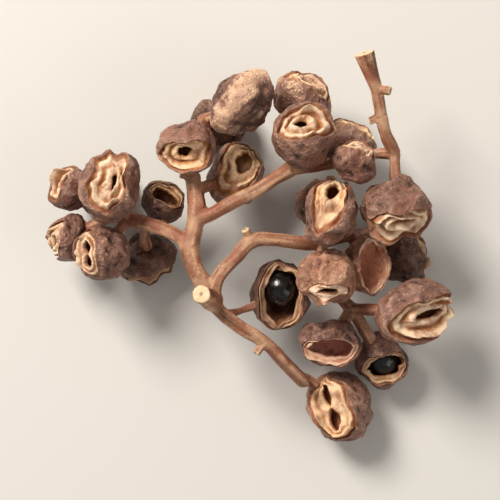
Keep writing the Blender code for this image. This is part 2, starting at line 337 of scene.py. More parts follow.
def in_mm(tree):
    """Object coordinates in millimetres."""
    place = node(tree, "ShaderNodeTexCoord").outputs["Object"]
    return node(tree, "ShaderNodeVectorMath", {0: place, "Scale": 1 / MM}, operation="SCALE").outputs[0]


def marked(tree, title):
    """The number that the mesh carries on its points under this title."""
    return node(tree, "ShaderNodeAttribute", attribute_name=title).outputs["Fac"]


def blend_colour(tree, share, first, second):
    """The second colour over the first, as much as this share says."""
    made = node(tree, "ShaderNodeMix", {0: share}, data_type="RGBA")
    for index, source in ((6, first), (7, second)):
        if isinstance(source, bpy.types.NodeSocket):
            tree.links.new(source, made.inputs[index])
        else:
            made.inputs[index].default_value = (*source, 1.0)
    return made.outputs[2]


def ranged(tree, value, low, high, to_low=0.0, to_high=1.0):
    """The value's stretch from low to high, softly turned into one from to_low to to_high."""
    links = {"Value": value, "From Min": low, "From Max": high, "To Min": to_low, "To Max": to_high}
    return node(tree, "ShaderNodeMapRange", links, interpolation_type="SMOOTHSTEP").outputs[0]


def cloud(tree, where, scale, detail=3.0, rough=0.55):
    """Soft noise from 0 to 1, with patches of about 1 / scale millimetres."""
    links = {"Vector": where, "Scale": scale, "Detail": detail, "Roughness": rough}
    return node(tree, "ShaderNodeTexNoise", links).outputs["Fac"]


def sum_of(tree, first, second):
    return node(tree, "ShaderNodeMath", {0: first, 1: second}, operation="ADD").outputs[0]


def strayed(tree, where):
    """The same places shifted a little to and fro, so that the glands aren't all round."""
    drift = node(tree, "ShaderNodeTexNoise", {"Vector": where, "Scale": 1.4, "Detail": 1.0})
    sideways = {0: drift.outputs["Color"], "Scale": 0.3}
    shift = node(tree, "ShaderNodeVectorMath", sideways, operation="SCALE").outputs[0]
    return node(tree, "ShaderNodeVectorMath", {0: where, 1: shift}, operation="ADD").outputs[0]


def skin_group():
    """The leathery skin: painted shade in its dips, painted highlight on its ridges and glands, in patches of
    two more tones.
    """
    group, given, out = new_group("dried_skin", ("Shaded_dips", "Body", "Ridge_highlight_and_rub", "Blush"), "Relief")
    where = in_mm(group)
    # The oil glands stand out as small domes, and the dry skin between them is finely wrinkled
    glands = node(group, "ShaderNodeTexVoronoi", {"Vector": strayed(group, where), "Scale": 3.3})
    domes = ranged(group, glands.outputs["Distance"], 0.12, 0.5, 1.0, 0.0)
    fine = cloud(group, where, 7.0, 5.0, 0.68)
    relief = sum_of(group, given["Relief"], ranged(group, fine, 0.3, 0.7, -0.17, 0.17))
    relief = sum_of(group, relief, ranged(group, domes, 0.0, 1.0, -0.1, 0.12))
    # Dark in the dips is painted shade, and pale on the ridges, wrinkle tops and gland tops is painted
    # highlight
    tone = blend_colour(group, ranged(group, relief, 0.12, 0.5), given["Shaded_dips"], given["Body"])
    tone = blend_colour(group, ranged(group, relief, 0.52, 1.05), tone, given["Ridge_highlight_and_rub"])
    # Broad patches of it are redder, and others are rubbed pale
    patches = cloud(group, where, 0.55, 2.0)
    tone = blend_colour(group, ranged(group, patches, 0.47, 0.66, 0.0, 0.6), tone, given["Blush"])
    tone = blend_colour(group, ranged(group, patches, 0.44, 0.27, 0.0, 0.42), tone, given["Ridge_highlight_and_rub"])
    group.links.new(tone, out["Colour"])
    group.links.new(sum_of(group, domes, fine), out["Height"])
    group.links.new(ranged(group, fine, 0.3, 0.7, 0.42, 0.74), out["Roughness"])
    return group


# Oil from the skin stains the lining here and there
STAIN = (0.4, 0.195, 0.125)


def lining_group():
    """The papery lining: pale and fibrous at the lips, darker the deeper it lies as painted shade, and
    stained.
    """
    group, given, out = new_group("papery_lining", ("Lip", "Wall", "Inside"), "Depth")
    where = in_mm(group)
    patches = cloud(group, where, 1.6, 3.0)
    fibres = cloud(group, where, 7.0, 4.0, 0.7)
    depth = sum_of(group, given["Depth"], ranged(group, patches, 0.3, 0.75, -0.1, 0.16))
    tone = blend_colour(group, ranged(group, depth, 0.02, 0.42), given["Lip"], given["Wall"])
    # Down from the wall into the hollow it darkens to the inside colour as painted shade
    tone = blend_colour(group, ranged(group, depth, 0.42, 1.05), tone, given["Inside"])
    tone = blend_colour(group, ranged(group, fibres, 0.5, 0.8, 0.0, 0.28), tone, given["Wall"])
    stains = cloud(group, where, 0.8, 4.0, 0.6)
    tone = blend_colour(group, ranged(group, stains, 0.46, 0.66, 0.0, 0.7), tone, STAIN)
    group.links.new(tone, out["Colour"])
    group.links.new(fibres, out["Height"])
    group.links.new(ranged(group, fibres, 0.3, 0.7, 0.42, 0.62), out["Roughness"])
    return group


dried_skin = skin_group()
papery_lining = lining_group()


def husk_material(name, skin_colours, lining_colours):
    """Skin outside and lining inside, which meet where the mesh says that the lining begins."""
    made = bpy.data.materials.new(name)
    made.use_nodes = True
    tree = made.node_tree
    shader = tree.nodes["Principled BSDF"]
    skin = node(tree, "ShaderNodeGroup", node_tree=dried_skin)
    lining = node(tree, "ShaderNodeGroup", node_tree=papery_lining)
    for group, colours in ((skin, skin_colours), (lining, lining_colours)):
        for title, colour in colours.items():
            group.inputs[title].default_value = (*colour, 1.0)
    tree.links.new(marked(tree, "relief"), skin.inputs["Relief"])
    tree.links.new(marked(tree, "depth"), lining.inputs["Depth"])
    lined = marked(tree, "lined")
    tone = blend_colour(tree, lined, skin.outputs["Colour"], lining.outputs["Colour"])
    rough, height = (
        node(tree, "ShaderNodeMix", {0: lined, 2: skin.outputs[title], 3: lining.outputs[title]}).outputs[0]
        for title in ("Roughness", "Height")
    )
    bump = node(tree, "ShaderNodeBump", {"Height": height, "Strength": 0.75, "Distance": 0.07 * MM})
    tree.links.new(tone, shader.inputs["Base Color"])
    tree.links.new(rough, shader.inputs["Roughness"])
    tree.links.new(bump.outputs["Normal"], shader.inputs["Normal"])
    shader.inputs["Specular IOR Level"].default_value = 0.35
    return made


CREAM = (0.88, 0.65, 0.45)
DIM_CREAM = (0.58, 0.38, 0.235)
OCHRE = (0.44, 0.19, 0.075)
SHADED_BROWN_INSIDE = (0.28, 0.1, 0.035)

mauve_husk = husk_material(
    "mauve_husk",
    dict(Shaded_dips=(0.042, 0.017, 0.012), Body=(0.212, 0.103, 0.075), Ridge_highlight_and_rub=(0.5, 0.288, 0.205),
         Blush=(0.27, 0.11, 0.068)),
    dict(Lip=CREAM, Wall=OCHRE, Inside=SHADED_BROWN_INSIDE),
)
# A darker copy of the mauve husk, with dim lips and a near-black inside: painted shade for husks that lie low
# or under others
shaded_mauve_husk = husk_material(
    "shaded_mauve_husk",
    dict(Shaded_dips=(0.028, 0.012, 0.009), Body=(0.115, 0.056, 0.04), Ridge_highlight_and_rub=(0.34, 0.195, 0.14),
         Blush=(0.18, 0.072, 0.045)),
    dict(Lip=DIM_CREAM, Wall=(0.3, 0.13, 0.05), Inside=(0.1, 0.03, 0.01)),
)
# Its ridges are painted pale tan as highlight, which runs along the keel of the big husk at the top
tan_highlight_husk = husk_material(
    "tan_highlight_husk",
    dict(Shaded_dips=(0.06, 0.025, 0.018), Body=(0.24, 0.12, 0.088), Ridge_highlight_and_rub=(0.84, 0.54, 0.35),
         Blush=(0.28, 0.13, 0.09)),
    dict(Lip=CREAM, Wall=(0.52, 0.24, 0.1), Inside=SHADED_BROWN_INSIDE),
)
pink_husk = husk_material(
    "pink_husk",
    dict(Shaded_dips=(0.1, 0.034, 0.02), Body=(0.355, 0.163, 0.1), Ridge_highlight_and_rub=(0.66, 0.385, 0.25),
         Blush=(0.25, 0.11, 0.075)),
    dict(Lip=(0.86, 0.6, 0.42), Wall=(0.68, 0.36, 0.23), Inside=(0.47, 0.175, 0.1)),
)
olive_husk = husk_material(
    "olive_husk",
    dict(Shaded_dips=(0.05, 0.02, 0.014), Body=(0.22, 0.112, 0.08), Ridge_highlight_and_rub=(0.5, 0.31, 0.22),
         Blush=(0.3, 0.14, 0.08)),
    dict(Lip=(0.88, 0.64, 0.4), Wall=(0.42, 0.19, 0.065), Inside=(0.3, 0.13, 0.035)),
)
# Red inside, and with its skin darker and its lips dimmer than the mauve husk's as painted shade
red_husk = husk_material(
    "red_husk",
    dict(Shaded_dips=(0.03, 0.013, 0.01), Body=(0.14, 0.067, 0.05), Ridge_highlight_and_rub=(0.4, 0.23, 0.17),
         Blush=(0.21, 0.083, 0.052)),
    dict(Lip=(0.78, 0.54, 0.37), Wall=(0.5, 0.22, 0.14), Inside=(0.3, 0.095, 0.065)),
)
amber_husk = husk_material(
    "amber_husk",
    dict(Shaded_dips=(0.05, 0.02, 0.014), Body=(0.235, 0.117, 0.084), Ridge_highlight_and_rub=(0.54, 0.33, 0.235),
         Blush=(0.3, 0.13, 0.085)),
    dict(Lip=(0.9, 0.62, 0.38), Wall=(0.54, 0.23, 0.085), Inside=(0.3, 0.085, 0.035)),
)

# How a mouth can look: a pale face with a slit, a face with two holes, an open cup, or nearly shut.
# hole and hole_at: the hole's size and place, as shares of the mouth; waist pinches it and skew widens an end
# sink, bulge, groove, curl, fold: rises and dips of the lining in millimetres; it curls most at lip_at
# fill: how shallow the hollow is; cleft: how far the slit runs on into the skin
# crumple and keel: how wrinkled the skin is, and how far it stands up in one ridge
SLIT = dict(
    hole=(0.42, 0.2), hole_at=(0.0, 0.0), waist=0.0, skew=0.15, sink=0.05, bulge=0.14, groove=0.34,
    curl=0.26, lip_at=90, lip_by=0.85, fold=0.14, fill=0.8, cleft=0.25, crumple=1.0, keel=0.0,
)
TWO_HOLES = dict(SLIT, hole=(0.62, 0.4), waist=1.0, fold=0.05)
CUP = dict(SLIT, hole=(0.78, 0.74), sink=-0.15, bulge=0.0, groove=0.18, curl=0.16, fold=0.1, fill=0.0)
SHUT = dict(SLIT, hole=(0.55, 0.08), sink=-0.1, groove=0.15, curl=0.1)

# How thick a husk's own stalk is, from its middle to its bark, in millimetres
PEDICEL = 0.36
FINE_PEDICEL = 0.27

# A stalk ends this far inside its husk's skin, in millimetres, and is this much thicker at its two ends
STALK_IN = 0.3
STALK_ROOT = 1.15
STALK_TIP = 1.3

# Each husk's wrinkles follow from the order of its birth, and its stalk waits here until the twig is grown
births = itertools.count(1)
stalks = []


def let_down(points):
    """Lets a husk that the sprig rests on down to the floor, where it lies flat. Its upper part stays."""
    low = max(points[..., 2].min() + 0.05 * MM, 0.0)
    points[..., 2] -= low * (1 - smooth(points[..., 2], 0.3 * MM, 1.8 * MM))
    points[..., 2] = np.maximum(points[..., 2], 0.0)


def husk(
    name, at, size, faces, along, joint, neck=None, opening=1.0, stalk=PEDICEL, material=mauve_husk,
    look=SLIT, foot=False, keel_across=(0, 0), **mouth,
):
    """One husk where its solid is, and the stalk that carries it: places and sizes are in millimetres."""
    placing = placing_of(at, faces, along)
    turn = np.array(placing.to_3x3())
    keel_side = turn.T @ np.array(direction(*keel_across))
    points, marks = husk_surface(size, next(births), opening, keel_side=keel_side, **dict(look, **mouth))
    points = points * MM @ turn.T + np.array(placing.translation)
    base = points[0].mean(axis=0)
    bottom = points[-1].mean(axis=0)
    if foot:
        let_down(points)
        base[2] = max(base[2], 0.0)
    show(closed_mesh(name, points, marks, base, bottom), name + "_skin", material, [name])
    # The stalk comes straight at the middle of the husk and ends just inside its skin
    before = Vector(neck or joint) * MM + drawn_at
    inward = placing.inverted() @ before
    reach = math.sqrt(sum((way / (side / 2 * MM)) ** 2 for way, side in zip(inward, size)))
    touch = placing @ (inward / reach)
    seat = (touch - (before - touch).normalized() * STALK_IN * MM - drawn_at) / MM
    path = [joint] + ([neck] if neck else []) + [tuple(seat)]
    stalks.append((path, [stalk * STALK_ROOT] + [stalk] * (len(path) - 2) + [stalk * STALK_TIP]))


# The left cluster: a big husk with its mouth to the viewer and smaller ones round it, of the same mauve
# leathery skin, painted darker as shade where they lie lowest. All of them grew at the end of the left
# branch.
LEFT_NODE = (-9.2, 2.6, 5.6)
LEFT_END = (-10.4, 2.9, 4.5)
husk(
    "husk_left_big", (-10.4, 5.0, 7.9), (5.4, 4.5, 4.5), (108, 66), (85, 0), LEFT_NODE, opening=1.15,
    hole=(0.3, 0.17), hole_at=(-0.1, -0.34), groove=0.2, curl=0.34, lip_at=190, lip_by=2.0, fold=0.3,
    cleft=0.35, bulge=0.25,
)
husk(
    "husk_left_front", (-11.1, 0.1, 6.6), (4.0, 3.7, 4.7), (190, 55), (95, 0), LEFT_NODE, opening=0.9,
    look=TWO_HOLES, bulge=0.2,
)
husk(
    "husk_left_rim", (-13.6, 1.2, 4.3), (3.6, 3.2, 3.4), (195, 25), (90, 40), LEFT_END,
    curl=0.36,
)
husk(
    "husk_left_back", (-13.5, 4.7, 4.9), (3.4, 3.0, 3.2), (150, 35), (60, 0), LEFT_END,
    look=CUP, hole=(0.4, 0.46), hole_at=(0.2, 0.0), curl=0.34, fold=0.3, fill=0.3,
)
husk(
    "husk_left_small", (-6.7, 3.8, 5.0), (3.2, 2.8, 3.0), (60, 60), (150, 0), (-6.6, 1.75, 6.8),
    neck=(-6.7, 1.7, 5.2), stalk=FINE_PEDICEL, look=CUP, material=shaded_mauve_husk,
)
husk(
    "husk_left_foot", (-8.0, -0.4, 1.75), (4.4, 3.8, 4.0), (290, 15), (20, 0), (-8.0, 2.3, 6.4),
    neck=(-8.1, 1.3, 4.4), look=CUP, hole=(0.62, 0.5), fill=0.3, material=shaded_mauve_husk, foot=True,
)
husk(
    "husk_left_under", (-11.3, 4.8, 1.85), (4.3, 3.9, 3.9), (130, 10), (40, 0), LEFT_END,
    material=shaded_mauve_husk, foot=True,
)

# The top cluster: a big warty husk seen from its back, painted pale tan along its ridge as highlight, and
# open ones with pale or olive linings. They grew at the end of the stem and where the branch to the upper
# right swells.
TOP_NODE = (-3.5, 9.9, 5.0)
MIDDLE_NODE = (2.7, 6.2, 6.7)
husk(
    "husk_top_big", (-0.8, 10.8, 8.6), (5.7, 4.6, 4.8), (-40, -25), (58, 20), TOP_NODE,
    opening=0.8, material=tan_highlight_husk, look=SHUT, crumple=0.9, keel=0.5, keel_across=(-35, 0),
)
husk(
    "husk_top_mouth", (3.7, 8.5, 8.9), (4.7, 4.5, 5.3), (80, 60), (10, 0), MIDDLE_NODE,
    opening=1.1, hole=(0.26, 0.22), hole_at=(-0.2, 0.04), fold=0.42, curl=0.32, lip_at=0, lip_by=1.3,
    crumple=0.8,
)
husk(
    "husk_top_back", (3.6, 11.5, 5.3), (4.4, 3.7, 4.0), (60, 30), (140, 10), MIDDLE_NODE,
    neck=(3.1, 8.9, 5.3), material=tan_highlight_husk,
)
husk(
    "husk_top_left", (-4.8, 7.8, 8.2), (4.2, 3.8, 3.8), (-88, 58), (10, 0), TOP_NODE,
    opening=1.15, look=CUP, hole=(0.3, 0.36), hole_at=(-0.1, 0.05), fold=0.42, curl=0.22, lip_at=-60,
    lip_by=0.8, fill=0.55, material=amber_husk,
)
husk(
    "husk_top_foot", (-2.7, 9.7, 1.9), (4.5, 3.9, 4.0), (100, -5), (20, 30), TOP_NODE,
    look=TWO_HOLES, skew=-0.25, material=shaded_mauve_husk, foot=True,
)
husk(
    "husk_middle", (-1.3, 5.8, 4.5), (4.9, 4.2, 4.2), (75, 68), (65, 0), (-4.3, 4.6, 6.6), opening=1.25,
    look=CUP, hole=(0.4, 0.42), hole_at=(0.34, -0.12), fold=0.36, curl=0.46, lip_at=165, lip_by=2.0,
    fill=0.75, material=olive_husk,
)
husk("husk_top_side", (7.3, 6.6, 8.8), (3.4, 2.9, 3.0), (70, 30), (160, 0), (7.0, 6.9, 6.6), opening=0.8)
husk(
    "husk_top_under", (7.1, 8.2, 4.1), (3.9, 3.5, 3.6), (60, 15), (150, 0), (7.0, 6.9, 6.6),
    look=CUP, hole=(0.66, 0.6), fill=0.4, curl=0.28, material=olive_husk,
)

# The right cluster: husks with wide pale mouths and two pinkish ones, and ones below them painted dark as
# shade. They grew on the right branch, which forks among them, and one hangs from the branch that broke off
# above.
BROKEN_NODE = (10.3, 7.3, 7.5)
RIGHT_NODE = (5.0, 0.8, 5.0)
RIGHT_SIDE_NODE = (7.3, 1.3, 4.5)
RIGHT_LOW_NODE = (7.3, -4.1, 4.4)
husk(
    "husk_right_top", (5.6, 3.0, 8.0), (5.1, 4.1, 4.4), (100, 62), (75, 0), RIGHT_NODE,
    opening=1.1, hole=(0.3, 0.34), hole_at=(0.4, 0.06), bulge=0.35, curl=0.3, lip_at=-90, fold=0.0, fill=0.3,
    material=amber_husk,
)
husk(
    "husk_right_wrinkled", (5.4, -1.8, 7.1), (4.2, 4.0, 3.9), (-90, 55), (0, 0), RIGHT_NODE,
    opening=0.7, material=pink_husk, hole=(0.6, 0.34), curl=0.16, fold=0.0, bulge=0.05, crumple=1.5,
)
husk(
    "husk_right_pink", (8.5, -0.9, 5.1), (4.3, 3.5, 3.7), (-5, 70), (90, 0), RIGHT_SIDE_NODE,
    opening=1.2, material=pink_husk, look=CUP, hole=(0.88, 0.9), groove=0.1, fold=0.04, curl=0.1, fill=0.75,
)
husk(
    "husk_right_hanging", (10.4, 3.2, 8.1), (5.2, 4.8, 4.9), (-75, 45), (0, 0), BROKEN_NODE,
    opening=1.1, hole=(0.4, 0.14), hole_at=(0.0, 0.2), bulge=0.3, crumple=1.2,
)
husk(
    "husk_right_wide", (11.9, -4.3, 6.9), (6.2, 4.7, 4.9), (-30, 52), (-10, 30), RIGHT_LOW_NODE,
    opening=1.3, hole=(0.42, 0.22), hole_at=(0.1, 0.08), fold=0.36, curl=0.42, lip_at=-50, lip_by=1.2,
)
husk(
    "husk_right_shaded", (5.8, -6.6, 4.5), (4.7, 3.5, 3.6), (-95, 60), (0, 0), RIGHT_LOW_NODE,
    opening=1.15, material=red_husk, look=CUP, lip_at=180, curl=0.2, fill=0.8,
)
husk(
    "husk_right_foot", (9.7, -8.0, 1.9), (4.2, 4.0, 4.0), (-70, 68), (10, 0), RIGHT_LOW_NODE,
    material=shaded_mauve_husk, look=CUP, foot=True,
)
husk(
    "husk_right_under", (11.4, -0.3, 1.85), (4.3, 3.9, 3.9), (10, 10), (90, 20), RIGHT_SIDE_NODE,
    neck=(8.9, 1.5, 2.9), look=CUP, hole=(0.36, 0.5), hole_at=(-0.2, 0.1), fold=0.34, curl=0.3, fill=0.3,
    material=shaded_mauve_husk, foot=True,
)
husk(
    "husk_right_back", (5.2, 3.6, 2.7), (4.2, 3.8, 4.0), (110, 0), (20, 10), RIGHT_NODE,
    look=TWO_HOLES, bulge=0.25, skew=0.3, material=shaded_mauve_husk,
)
husk(
    "husk_with_seed", (2.0, -3.1, 4.6), (5.2, 4.3, 4.4), (-90, 78), (88, 0), (-2.0, -4.5, 7.3),
    neck=(-0.9, -4.2, 5.6), opening=1.3, stalk=FINE_PEDICEL, material=shaded_mauve_husk, look=CUP, hole=(0.84, 0.8),
)

# The lowest husk, with two holes in its amber face, grew alone at the end of the long branch. It lies on
# its side and is one of those that the sprig rests on.
LOWER_END = (3.7, -9.5, 4.8)
husk(
    "husk_lower", (6.45, -11.5, 2.35), (5.5, 4.7, 4.9), (185, 70), (112, 0), LOWER_END,
    neck=(3.9, -9.3, 3.1), opening=1.15, look=TWO_HOLES, hole=(0.66, 0.34), hole_at=(0.05, 0.1), skew=-0.3,
    groove=0.3, curl=0.34, lip_at=180, material=amber_husk, foot=True,
)

# Seeds. Two husks still hold theirs: a hard, glossy black ball with a faint network of pits and a little
# dust, which came loose as the husk dried and only lies in it.


def seed_material():
    """A glossy black coat with fine pits and a little dust."""
    made = bpy.data.materials.new("seed_coat")
    made.use_nodes = True
    tree = made.node_tree
    shader = tree.nodes["Principled BSDF"]
    where = in_mm(tree)
    pits = node(tree, "ShaderNodeTexVoronoi", {"Vector": where, "Scale": 7.0}, feature="F2")
    dust = cloud(tree, where, 3.0, 4.0)
    tone = blend_colour(tree, ranged(tree, dust, 0.45, 0.8), (0.004, 0.0035, 0.004), (0.03, 0.022, 0.02))
    dents = {"Height": pits.outputs["Distance"], "Strength": 0.25, "Distance": 0.03 * MM}
    bump = node(tree, "ShaderNodeBump", dents)
    tree.links.new(tone, shader.inputs["Base Color"])
    tree.links.new(ranged(tree, dust, 0.3, 0.8, 0.1, 0.34), shader.inputs["Roughness"])
    tree.links.new(bump.outputs["Normal"], shader.inputs["Normal"])
    return made


SEED_ROWS = 50
seed_coat = seed_material()


def seed(name, at, size, faces, along, birth):
    """One slightly uneven seed where its solid is: places and sizes are in millimetres."""
    placing = placing_of(at, faces, along)
    down = np.linspace(0.0, math.pi, SEED_ROWS)[1:-1, None]
    ball = np.stack([np.sin(down) * COS, np.sin(down) * SIN, -np.cos(down) + 0 * COS], axis=-1)
    ball = ball * np.array(size) / 2
    ball *= 1 + 0.02 * grain(ball + birth, 0.9)[..., None] + 0.006 * grain(ball + birth, 4.0)[..., None]
    turn = np.array(placing.to_3x3())
    place = np.array(placing.translation)
    ends = [np.array([0.0, 0.0, side * size[2] / 2]) * MM @ turn.T + place for side in (-1, 1)]
    mesh = closed_mesh(name, ball * MM @ turn.T + place, {}, *ends)
    show(mesh, name + "_coat", seed_coat, [name])


seed("seed_middle", SEED_AT, (2.6, 2.4, 2.3), (-90, 78), (88, 0), 3.0)
seed("seed_right", (9.72, -8.05, 2.05), (2.4, 2.3, 2.2), (-70, 68), (10, 0), 8.0)

# The twig. It carries every husk: a cut stalk that forks into branches, with swollen nodes where they part.
# It is dry reddish-tan wood with lengthwise wrinkles, and pale where it was cut or broke off. All of it grew
# as one piece, so the branches are run together into one skin.

# Half the thickness of the stalk, the main stem, the branches and the stubs, in millimetres
STALK = 0.68
RACHIS = 0.62
BRANCH = 0.5
STUB = 0.3
NODE_SWELL = 1.22

FORK = (-3.0, -3.3, 7.6)
CUT_END = (-3.75, -2.9, 10.2)
BROKEN_END = (8.0, 14.5, 9.6)

# Each branch: the places that it runs through and how thick it is there. The sixth is the one that broke
# off, and it is flared where it tore.
branches = [
    (
        [CUT_END, (-3.4, -3.1, 8.9), FORK, (-4.3, -1.0, 7.5), (-4.65, 0.4, 7.3), (-4.3, 2.0, 7.1)],
        [STALK, STALK, STALK * NODE_SWELL, RACHIS, RACHIS * NODE_SWELL, RACHIS],
    ),
    (
        [(-4.3, 2.0, 7.1), (-4.1, 3.1, 6.9), (-4.3, 4.7, 6.6), (-4.5, 6.3, 6.0), (-4.3, 7.9, 5.3), TOP_NODE],
        [RACHIS, RACHIS * NODE_SWELL, RACHIS, BRANCH, BRANCH, BRANCH * NODE_SWELL],
    ),
    (
        [(-4.6, 0.4, 7.3), (-5.4, 1.2, 7.1), (-7.3, 2.0, 6.7), LEFT_NODE, LEFT_END],
        [RACHIS, BRANCH, BRANCH, BRANCH * NODE_SWELL, PEDICEL],
    ),
    (
        [(-4.1, 2.6, 7.0), (-3.3, 2.8, 7.3), (-2.0, 3.5, 7.6), (0.0, 4.5, 7.6), (1.6, 5.5, 7.3), MIDDLE_NODE],
        [RACHIS, BRANCH, BRANCH, BRANCH, BRANCH, BRANCH * NODE_SWELL],
    ),
    (
        [MIDDLE_NODE, (4.8, 6.4, 6.4), (7.0, 6.9, 6.6), (8.9, 7.3, 7.1), BROKEN_NODE],
        [BRANCH, PEDICEL, PEDICEL * NODE_SWELL, PEDICEL, BRANCH],
    ),
    (
        [BROKEN_NODE, (9.5, 9.1, 8.4), (8.9, 11.9, 9.0), BROKEN_END],
        [BRANCH, BRANCH * 0.9, BRANCH * 0.9, BRANCH * 1.5],
    ),
    (
        [FORK, (-2.5, -1.7, 7.6), (-1.4, -0.4, 7.4), (-0.1, 0.9, 7.1), (1.7, 1.0, 6.7), (3.4, 0.8, 6.2)]
        + [RIGHT_NODE],
        [RACHIS, BRANCH, BRANCH, BRANCH * NODE_SWELL, BRANCH, BRANCH, BRANCH * NODE_SWELL],
    ),
    ([RIGHT_NODE, (6.0, 1.0, 4.6), RIGHT_SIDE_NODE], [BRANCH, PEDICEL, PEDICEL]),
    (
        [RIGHT_NODE, (5.3, -0.6, 4.3), (5.8, -2.4, 4.0), RIGHT_LOW_NODE],
        [BRANCH, PEDICEL, PEDICEL, BRANCH],
    ),
    (
        [FORK, (-2.6, -4.0, 7.5), (-1.2, -5.2, 7.3), (0.8, -6.5, 6.9), (2.3, -8.0, 6.1), LOWER_END],
        [RACHIS, BRANCH, BRANCH, BRANCH, BRANCH, BRANCH],
    ),
]

# Stubs of thin stalks that broke off, each from where it grew to its pale end
stubs = [
    ((-0.1, 0.9, 7.1), (-0.6, 1.75, 7.5)),
    ((-4.4, 5.6, 6.3), (-5.35, 5.9, 6.5)),
    ((0.8, -6.5, 6.9), (0.2, -7.3, 7.2)),
    ((8.9, 11.9, 9.0), (9.9, 11.75, 9.5)),
    ((9.3, 10.0, 8.65), (8.4, 9.6, 8.5)),
]


def rounded_end(path, radii):
    """The branch drawn out to a small dome, as where it stops at its last husks."""
    last = Vector(path[-1])
    ahead = (last - Vector(path[-2])).normalized() * radii[-1]
    dome = [tuple(last + 0.5 * ahead), tuple(last + 0.85 * ahead)]
    return path + dome, radii + [0.82 * radii[-1], 0.35 * radii[-1]]


wood = [rounded_end(*branch) if branch[0][-1] != BROKEN_END else branch for branch in branches]
wood += [([start, end], [STUB, STUB * 1.1]) for start, end in stubs]
wood += stalks

twig_curve = bpy.data.curves.new("twig", "CURVE")
twig_curve.dimensions = "3D"
twig_curve.bevel_depth = MM
twig_curve.bevel_resolution = 5
twig_curve.resolution_u = 12
twig_curve.use_fill_caps = True
for path, radii in wood:
    spline = twig_curve.splines.new("BEZIER")
    spline.bezier_points.add(len(path) - 1)
    for point, place, radius in zip(spline.bezier_points, path, radii):
        point.co = Vector(place) * MM + drawn_at
        point.handle_left_type = "AUTO"
        point.handle_right_type = "AUTO"
        point.radius = radius

# How fine the twig's skin is, and how many places on its middle lines there are between two points
TWIG_VOXEL = 0.085 * MM
STEPS_A_SPAN = 16


def grown_skin():
    """The branches as one skin, and the middle lines that they were grown on."""
    guide = bpy.data.objects.new("twig_guide", twig_curve)
    bpy.context.scene.collection.objects.link(guide)
    bpy.context.view_layer.update()
    middles = []
    for spline in twig_curve.splines:
        knots = spline.bezier_points
        line = []
        for first, second in zip(knots[:-1], knots[1:]):
            bend = (first.co, first.handle_right, second.handle_left, second.co)
            line += interpolate_bezier(*bend, STEPS_A_SPAN)[:-1]
        line.append(knots[-1].co)
        middles.append([Vector(p) for p in line])
    tubes = bpy.data.meshes.new_from_object(guide.evaluated_get(bpy.context.evaluated_depsgraph_get()))
    bpy.data.objects.remove(guide)
    bm = bmesh.new()
    bm.from_mesh(tubes)
    bmesh.ops.remove_doubles(bm, verts=bm.verts, dist=0.001 * MM)
    bm.to_mesh(tubes)
    bm.free()
    raw = bpy.data.objects.new("twig_raw", tubes)
    bpy.context.scene.collection.objects.link(raw)
    one = raw.modifiers.new("one_skin", "REMESH")
    one.mode = "VOXEL"
    one.voxel_size = TWIG_VOXEL
    soft = raw.modifiers.new("soft", "SMOOTH")
    soft.factor = 0.5
    soft.iterations = 3
    bpy.context.view_layer.update()
    skin = bpy.data.meshes.new_from_object(raw.evaluated_get(bpy.context.evaluated_depsgraph_get()))
    bpy.data.objects.remove(raw)
    return skin, middles


# Each branch takes its wrinkles from its own stretch of the noise, so that no two of them match
WRINKLES_APART = 31.7


def round_and_along(points, middles):
    """For each point, the cosine and sine of its place round its branch and how far along it is, in mm."""
    spots = []
    for number, line in enumerate(middles):
        travelled = 0.0
        side = Vector((0.31, 0.53, 0.79))
        for i, point in enumerate(line):
            ahead = line[min(i + 1, len(line) - 1)] - line[max(i - 1, 0)]
            ahead.normalize()
            side = (side - side.dot(ahead) * ahead).normalized()
            if i:
                travelled += (point - line[i - 1]).length
            spots.append((point, side, ahead.cross(side), travelled / MM + number * WRINKLES_APART))
    tree = kdtree.KDTree(len(spots))
    for number, spot in enumerate(spots):
        tree.insert(spot[0], number)
    tree.balance()
    where = np.empty((len(points), 3))
    for i, point in enumerate(points):
        at = Vector(point)
        middle, side, other, travelled = spots[tree.find(at)[1]]
        away = at - middle
        turn = math.atan2(away.dot(other), away.dot(side))
        where[i] = (math.cos(turn), math.sin(turn), travelled)
    return where


def ends_of(co, normal):
    """How much each point belongs to the face of a cut or broken end, and to the pith in its middle."""
    # Where each end is, which way it faces and how far its face reaches, in millimetres
    ends = [(CUT_END, (-0.27, 0.15, 0.95), 0.975), (BROKEN_END, (-0.32, 0.93, 0.2), 0.91)]
    ends += [(end, Vector(end) - Vector(start), 0.52) for start, end in stubs]
    cut = np.zeros(len(co))
    pith = np.zeros(len(co))
    for end, toward, reach in ends:
        axis = np.array(Vector(toward).normalized())
        off = co / MM - np.array(Vector(end) + drawn_at / MM)
        near = np.linalg.norm(off, axis=1) < reach
        facing = normal @ axis
        cut = np.maximum(cut, near * smooth(facing, 0.35, 0.75))
        middle = np.linalg.norm(off - (off @ axis)[:, None] * axis, axis=1)
        pith = np.maximum(pith, near * (facing > 0.3) * (1 - smooth(middle, 0.08, 0.2)))
    return cut, pith


# How far round a fork the bark is rubbed pale, in millimetres
FORK_REACH = 0.95


def forks_of(co):
    """How close each point is to where a branch or a stub leaves the wood."""
    parted = [path[0] for path, _ in branches[1:]] + [start for start, _ in stubs]
    forks = np.array([Vector(place) + drawn_at / MM for place in parted])
    from_fork = np.min([np.linalg.norm(co / MM - fork, axis=1) for fork in forks], axis=0)
    return np.exp(-((from_fork / FORK_REACH) ** 2))


def read_out(elements, what):
    """This place or direction of every element, one row each."""
    values = np.empty(len(elements) * 3, np.float32)
    elements.foreach_get(what, values)
    return values.reshape(-1, 3).astype(float)


# How high the twig's wrinkles and knots stand, in millimetres
WIDE_WRINKLE = 0.07
FINE_WRINKLE = 0.035
KNOT = 0.05


